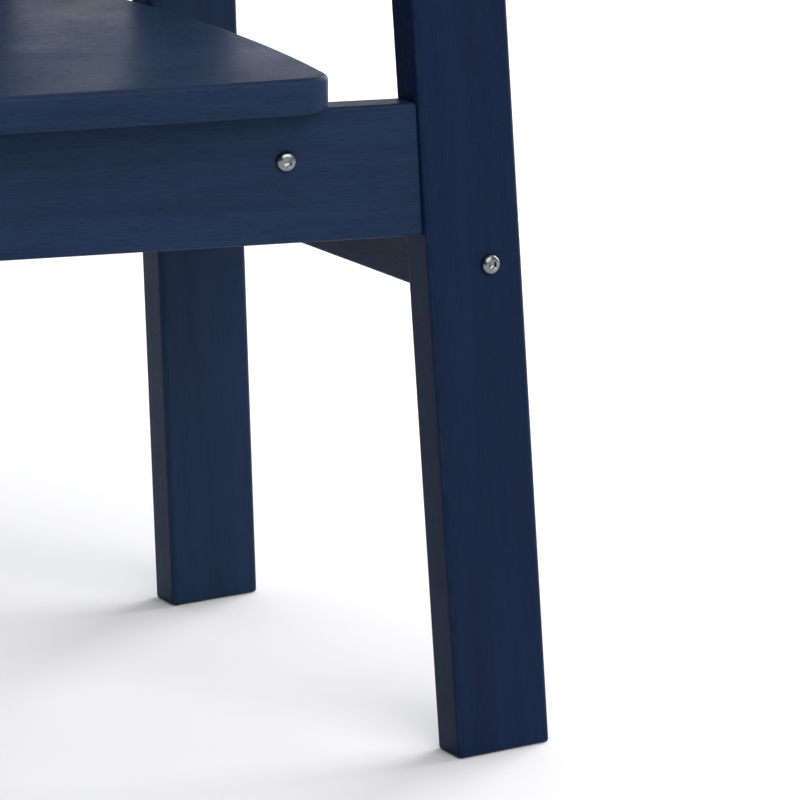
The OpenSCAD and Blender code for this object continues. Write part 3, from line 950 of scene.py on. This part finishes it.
@dataclass
class Hardware:
    """Bolts, screws, barrel nuts and dowels."""

    bolt_groups: tuple = ("apron_bolts", "leg_bolts")
    screw_groups: tuple = ("seat_screws", "rear_rail_screws", "back_rail_screws",
                           "slat_screws_lower", "slat_screws_middle", "slat_screws_top",
                           "arm_screws", "bracket_screws")
    dowel_groups: tuple = ("apron_dowels", "rear_rail_dowels")
    nut_group: str = "barrel_nuts"
    shaft_r: float = 3.0 * MM
    head_h: float = 3.6 * MM
    across: int = 48
    screw_across: int = 24
    thread_pitch: float = 2.2 * MM
    thread_rings: int = 36
    dowel_across: int = 72
    flutes: int = 9
    dowel_chamfer: float = 1.5 * MM
    play: float = 0.3 * MM
    bore_across: int = 32
    way_out: float = 45.0 * MM
    nut_way_out: float = 40.0 * MM
    weld_gap: float = 0.01 * MM

    def bolts(self, node: str, finish: bpy.types.Material) -> bpy.types.Object:
        """Button-head bolts: rim, dome, flat ring and hex socket, then the shank to a chamfered tip.

        Args:
            node: the CAD node.
            finish: the steel.

        Returns:
            The bolts as one object.
        """
        shafts = Shafts(node)
        angle = np.arange(self.across) * 2 * np.pi / self.across
        hexed = polygon_radius(angle, 6)
        R, h, tip = shafts.radius, self.head_h, shafts.length
        swing = np.linspace(0.0, np.pi / 2, 9)
        ring_r, rim_h = 0.60 * R, 0.20 * h
        dome_r = ring_r + (R - ring_r) * np.cos(swing)
        dome_d = h - rim_h - (h - rim_h - 0.15 * MM) * np.sin(swing)
        # Each row is a radius, a depth below the top, and how far the ring follows the hexagon
        rows = [(0.55 * MM, 0.62 * h + 0.7 * MM, 0), (0.40 * R, 0.62 * h, 1), (0.405 * R, 0.30 * MM, 1),
                (0.46 * R, 0.10 * MM, 0.6), (0.49 * R, 0.06 * MM, 0), (0.57 * R, 0.06 * MM, 0)]
        rows += [(r, d, 0) for r, d in zip(dome_r[::-1], dome_d[::-1])]
        rows += [(R, h - 0.12 * MM, 0), (R - 0.15 * MM, h, 0), (self.shaft_r, h, 0),
                 (self.shaft_r, tip - 1.0 * MM, 0), (self.shaft_r - 0.8 * MM, tip, 0)]
        table = np.array(rows)
        radius = table[:, :1] * (1 + table[:, 2:] * (hexed - 1)[None])
        return self.finish_group(node, turned(shafts, radius, table[:, 1]), finish, "stainless", 32.0)

    def screws(self, node: str, finish: bpy.types.Material) -> bpy.types.Object:
        """Countersunk screws: six-lobed recess, cone, and a thread r + h wave(z / pitch - a / 2 pi).

        Args:
            node: the CAD node.
            finish: the steel.

        Returns:
            The screws as one object.
        """
        shafts = Shafts(node)
        count, pitch = self.screw_across, self.thread_pitch
        angle = np.arange(count) * 2 * np.pi / count
        R, tip = shafts.radius, shafts.length
        shank = 0.5 * R
        # Each row is a radius, a depth below the top, and how deep the recess's lobes are
        rows = [(0.08 * R, 1.9 * MM, 0.0), (0.42 * R, 1.7 * MM, 0.16), (0.44 * R, 0.12 * MM, 0.16),
                (0.52 * R, 0.02 * MM, 0.05), (0.96 * R, 0.0, 0.0), (R, 0.12 * MM, 0.0),
                (shank, R - shank + 0.1 * MM, 0.0), (shank, 0.34 * tip, 0.0)]
        head = np.array(rows)
        lobes = lobed_radius(angle, 1.0) - 1
        top_r = head[:, :1] * (1 + head[:, 2:] * lobes[None])
        z = np.linspace(0.36 * tip, tip - 1.5 * MM, self.thread_rings)
        wave = np.abs(((z[:, None] / pitch - angle[None] / (2 * np.pi)) % 1.0) * 2 - 1) ** 3
        fade = np.clip((tip - z) / (5 * MM), 0.35, 1.0)[:, None]
        thread = shank * fade * (0.70 + 0.30 * wave)
        last = np.full((1, count), 0.05 * shank)
        radius = np.concatenate([top_r, thread, last])
        depth = np.concatenate([head[:, 1], z, [tip]])
        return self.finish_group(node, turned(shafts, radius, depth), finish, "stainless", 50.0)

    def dowels(self, node: str, finish: bpy.types.Material) -> bpy.types.Object:
        """Fluted dowels: radius r (1 - 0.05 flute), flute = (1 - |cos 9a|)^2, chamfered ends.

        Args:
            node: the CAD node.
            finish: the bare wood.

        Returns:
            The dowels as one object.
        """
        shafts = Shafts(node)
        angle = np.arange(self.dowel_across) * 2 * np.pi / self.dowel_across
        flute = 1 - 0.05 * (1 - np.abs(np.cos(self.flutes * angle))) ** 2
        R, tip, cut = shafts.radius, shafts.length, self.dowel_chamfer
        depth = np.array([0.0, cut / 2, cut, tip - cut, tip - cut / 2, tip])
        body = np.array([0.78, 0.91, 1.0, 1.0, 0.91, 0.78]) * R
        return self.finish_group(node, turned(shafts, body[:, None] * flute[None], depth), finish,
                                 "bare_wood", 32.0)

    def nuts(self, finish: bpy.types.Material) -> None:
        """Barrel nuts: the CAD mesh itself, welded and finished.

        Args:
            finish: the steel.
        """
        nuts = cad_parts[self.nut_group]
        nuts.data.materials.clear()
        nuts.data.materials.append(finish)
        weld = nuts.modifiers.new("weld", "WELD")
        weld.merge_threshold = self.weld_gap

    def build(self, steel: bpy.types.Material, beech: bpy.types.Material) -> None:
        """Builds every fastener group.

        Args:
            steel: the finish of bolts, screws and nuts.
            beech: the finish of dowels.
        """
        for node in self.bolt_groups:
            self.bolts(node, steel)
        for node in self.screw_groups:
            self.screws(node, steel)
        for node in self.dowel_groups:
            self.dowels(node, beech)
        self.nuts(steel)

    @staticmethod
    def finish_group(node: str, surface: tuple, finish: bpy.types.Material, slot: str,
                     smooth_deg: float) -> bpy.types.Object:
        """Makes the object of a fastener group in place of its CAD node.

        Args:
            node: the CAD node.
            surface: points and faces.
            finish: the material.
            slot: the record's slot.
            smooth_deg: edges that turn more than this stay sharp.

        Returns:
            The object.
        """
        obj = mesh_object(f"{node}_set", *surface, smooth_deg)
        obj.data.materials.append(finish)
        settle(obj, slot, node)
        return obj

    def cutter(self, node: str, bore: Bore) -> tuple[np.ndarray, list]:
        """The holes for a group: shank, countersink and a counterbore out past the board's face.

        Args:
            node: the CAD node of the fasteners.
            bore: the kind of hole.

        Returns:
            Points and faces of the solids to take away.
        """
        shafts = Shafts(node)
        R = shafts.radius + self.play
        if bore is Bore.NUT:
            shafts.open_inwards()
            rows = [(-self.nut_way_out, R), (shafts.length + 0.5 * MM, R)]
        else:
            shank = 0.5 * shafts.radius + self.play
            rows = [(-self.way_out, R), (0.0, R), (R - shank, shank), (shafts.length + MM, shank)]
        table = np.array(rows)
        return turned(shafts, np.repeat(table[:, 1:], self.bore_across, axis=1), table[:, 0])

    def bore(self, obj: bpy.types.Object, board: str, groups: tuple) -> None:
        """Cuts the holes of fastener groups from a board, with the result applied.

        Args:
            obj: the board's object.
            board: the board's CAD node.
            groups: names of the fastener nodes.
        """
        for node in groups:
            kind = Bore.NUT if node == self.nut_group else Bore.SCREW
            tool = mesh_object("bore_tool", *self.cutter(node, kind))
            tool.modifiers.clear()
            cut = obj.modifiers.new("bore", "BOOLEAN")
            cut.operation, cut.solver, cut.object = "DIFFERENCE", "EXACT", tool
            while obj.modifiers[0] != cut:
                bpy.context.view_layer.objects.active = obj
                obj.modifiers.move(len(obj.modifiers) - 1, 0)
            obj.modifiers["even_faces"].show_viewport = False
            made = bpy.data.meshes.new_from_object(
                obj.evaluated_get(bpy.context.evaluated_depsgraph_get()))
            obj.modifiers.clear()
            old, obj.data = obj.data, made
            bpy.data.meshes.remove(old)
            spare = tool.data
            bpy.data.objects.remove(tool)
            bpy.data.meshes.remove(spare)
            made.name = obj.name
            shade(obj, 32.0)
            LOG.info("%s bored for %s", board, node)


# ---------------------------------------------------------------- sub-assemblies


@dataclass
class LegFrame:
    """The splayed legs with the rails and apron that join them."""

    ease: float = 3.2 * MM
    # Painted shade: the front legs take the darker copy of the paint, the rear legs a little of it.
    painted_shades: dict = field(default_factory=lambda: {"front": 1.0, "rear": 0.3})
    rail_ease: float = 2.5 * MM
    apron_ease: float = 2.0 * MM

    def build(self, paint: bpy.types.Material, hardware: Hardware) -> None:
        """Builds the boards of the frame.

        Args:
            paint: the finish.
            hardware: the fasteners.
        """
        seed = 0
        for end in ("front", "rear"):
            for side in ("left", "right"):
                seed += 1
                Board(f"{end}_leg_{side}", self.ease, End.FOOT, End.BUTT, seed,
                      painted_shade=self.painted_shades[end]).build(paint, hardware)
        for side in ("left", "right"):
            seed += 1
            Board(f"side_rail_{side}", self.rail_ease, seed=seed,
                  bores=("barrel_nuts",)).build(paint, hardware)
        # Painted light: the apron takes the lighter copy of the paint.
        Board("front_apron", self.apron_ease, seed=8, painted_shade=0.0).build(paint, hardware)
        Board("rear_rail", self.rail_ease, seed=9, bores=("rear_rail_screws",)).build(paint, hardware)


@dataclass
class Seat:
    """The bowed seat panel and the bearers under it."""

    ease: float = 3.2 * MM
    bearer_ease: float = 2.0 * MM

    def build(self, paint: bpy.types.Material, hardware: Hardware) -> None:
        """Builds the panel and the bearers.

        Args:
            paint: the finish.
            hardware: the fasteners.
        """
        # Painted light: the seat panel takes the lighter copy of the paint.
        Board("seat_panel", self.ease, End.SHAPED, End.SHAPED, 11, sharp_turn=50.0,
              grain=(1, 0, 0), painted_shade=0.0).build(paint, hardware)
        for seed, place in enumerate(("left", "centre", "right")):
            Board(f"seat_bearer_{place}", self.bearer_ease, seed=12 + seed,
                  bores=("seat_screws", "barrel_nuts")).build(paint, hardware)


@dataclass
class Back:
    """The fan of slats with the rails that hold them."""

    slats: int = 7
    ease: float = 2.6 * MM
    rail_ease: float = 2.2 * MM

    def build(self, paint: bpy.types.Material, hardware: Hardware) -> None:
        """Builds the rails and the slats.

        Args:
            paint: the finish.
            hardware: the fasteners.
        """
        for seed, name in enumerate(("lower_back_rail", "arm_rail", "top_brace")):
            Board(name, self.rail_ease, End.FOOT, End.FOOT, 16 + seed,
                  grain=(1, 0, 0)).build(paint, hardware)
        for k in range(1, self.slats + 1):
            Board(f"back_slat_{k}", self.ease, End.FOOT, End.SHAPED, 20 + k,
                  ("slat_screws_lower", "slat_screws_middle", "slat_screws_top")).build(paint, hardware)


@dataclass
class Arms:
    """The broad arms and their brackets."""

    ease: float = 4.0 * MM
    bracket_ease: float = 2.0 * MM

    def build(self, paint: bpy.types.Material, hardware: Hardware) -> None:
        """Builds both arms and both brackets.

        Args:
            paint: the finish.
            hardware: the fasteners.
        """
        for seed, side in enumerate(("left", "right")):
            Board(f"arm_{side}", self.ease, End.SHAPED, End.SHAPED, 30 + seed, ("arm_screws",),
                  sharp_turn=50.0, grain=(0, 1, 0)).build(paint, hardware)
            Board(f"arm_bracket_{side}", self.bracket_ease, End.FOOT, End.BUTT, 34 + seed,
                  ("bracket_screws",), grain=(0, 0, 1), hollow=True,
                  facing=(0, 1, 0)).build(paint, hardware)


# ---------------------------------------------------------------- studio


@dataclass
class Studio:
    """Floor, lights and camera."""

    camera_from_corner: tuple = (-0.6237, -2.1691, 0.5010)
    tilt_deg: float = 75.35
    turn_deg: float = -15.74
    lens: float = 198.0
    world_colour: tuple = (0.93, 0.945, 1.0, 1.0)
    bright_side: tuple = (0.35, 0.85, -0.25)
    dim_wall: float = 0.10
    bright_wall: float = 1.0
    key_from: tuple = (0.20, -0.88, 0.62)
    key_power: float = 2.1
    key_spread: float = 55.0
    top_power: float = 45.0
    top_at: tuple = (-0.6, 0.9, 5.0)
    low_power: float = 210.0
    low_at: tuple = (3.6, 1.6, 1.75)
    key_colour: tuple = (1.0, 0.985, 0.955)
    top_side: float = 6.0
    low_side: float = 3.2
    low_aim: tuple = (-0.3, 0.2, 0.1)
    floor_half: float = 30.0
    floor_cells: int = 24

    def floor(self, finish: bpy.types.Material) -> None:
        """A flat sheet of paper: a grid whose cells grow outwards as t |t|.

        Args:
            finish: the paper.
        """
        count = self.floor_cells + 1
        t = np.linspace(-1, 1, count)
        x, y = np.meshgrid(t * np.abs(t), t * np.abs(t), indexing="ij")
        points = np.stack([x, y, np.zeros_like(x)], axis=-1).reshape(-1, 3) * self.floor_half
        i, j = np.meshgrid(np.arange(self.floor_cells), np.arange(self.floor_cells), indexing="ij")
        a = (i * count + j).ravel()
        quads = np.stack([a, a + count, a + count + 1, a + 1], axis=1)
        obj = mesh_object("floor", points, quads.tolist())
        obj.data.materials.append(finish)

    def surround(self) -> None:
        """The studio's walls, whose brightness rises smoothly towards the bright side."""
        world = bpy.data.worlds.new("surround")
        world.use_nodes = True
        tree = world.node_tree
        way = add_node(tree, "ShaderNodeTexCoord").outputs["Generated"]
        share = add_node(tree, "ShaderNodeVectorMath", operation="DOT_PRODUCT",
                         inputs={0: way, 1: self.bright_side}).outputs["Value"]
        back = tree.nodes["Background"]
        back.inputs["Color"].default_value = self.world_colour
        tree.links.new(remap(tree, share, -0.8, 0.5, self.dim_wall, self.bright_wall),
                       back.inputs["Strength"])
        bpy.context.scene.world = world

    def key(self) -> None:
        """A broad soft key light from the front right, far enough away to fall evenly."""
        data = bpy.data.lights.new("key", "SUN")
        data.energy, data.angle = self.key_power, np.radians(self.key_spread)
        data.color = self.key_colour
        lamp = bpy.data.objects.new("key", data)
        lamp.rotation_euler = (-Vector(self.key_from)).to_track_quat("-Z", "Y").to_euler()
        bpy.context.scene.collection.objects.link(lamp)

    @staticmethod
    def softbox(name: str, side: float, power: float, place: tuple, aim: tuple) -> None:
        """A square softbox.

        Args:
            name: the lamp's name.
            side: its side in metres.
            power: its power in watts.
            place: its position.
            aim: the point that it faces.
        """
        data = bpy.data.lights.new(name, "AREA")
        data.shape, data.size, data.energy = "SQUARE", side, power
        lamp = bpy.data.objects.new(name, data)
        lamp.location = place
        lamp.rotation_euler = (Vector(aim) - Vector(place)).to_track_quat("-Z", "Y").to_euler()
        bpy.context.scene.collection.objects.link(lamp)

    def lights(self) -> None:
        """The surround, the key, a softbox overhead and a low one that reaches under the seat."""
        self.surround()
        self.key()
        below = (self.top_at[0], self.top_at[1], 0.0)
        self.softbox("top", self.top_side, self.top_power, self.top_at, below)
        self.softbox("low", self.low_side, self.low_power, self.low_at, self.low_aim)

    def camera(self) -> None:
        """The camera, placed from the apron's lower front corner on the right."""
        low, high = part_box("front_apron")
        corner = Vector((high.x, low.y, low.z))
        data = bpy.data.cameras.new("camera")
        data.lens, data.sensor_width, data.clip_end = self.lens, 36.0, 60.0
        eye = bpy.data.objects.new("camera", data)
        eye.location = corner + Vector(self.camera_from_corner)
        eye.rotation_euler = [np.radians(self.tilt_deg), 0.0, np.radians(self.turn_deg)]
        bpy.context.scene.collection.objects.link(eye)
        bpy.context.scene.camera = eye
        bpy.context.scene.view_settings.view_transform = "Standard"

    def build(self, paper: bpy.types.Material) -> None:
        """Sets up the studio.

        Args:
            paper: the floor's finish.
        """
        self.camera()
        self.floor(paper)
        self.lights()


def main() -> None:
    """Builds the studio, the boards and the hardware, in that order."""
    logging.basicConfig(level=logging.INFO, format="%(name)s: %(message)s")
    effects = Effects()
    paint = PaintedTimber("navy_paint").material(effects)
    steel = StainlessSteel("stainless_steel").material(effects)
    beech = BareBeech("bare_beech").material(effects)
    Studio().build(StudioPaper("studio_paper").material(effects))
    hardware = Hardware()
    for sub_assembly in (LegFrame(), Seat(), Back(), Arms()):
        sub_assembly.build(paint, hardware)
    hardware.build(steel, beech)


if __name__ == "__main__":
    main()
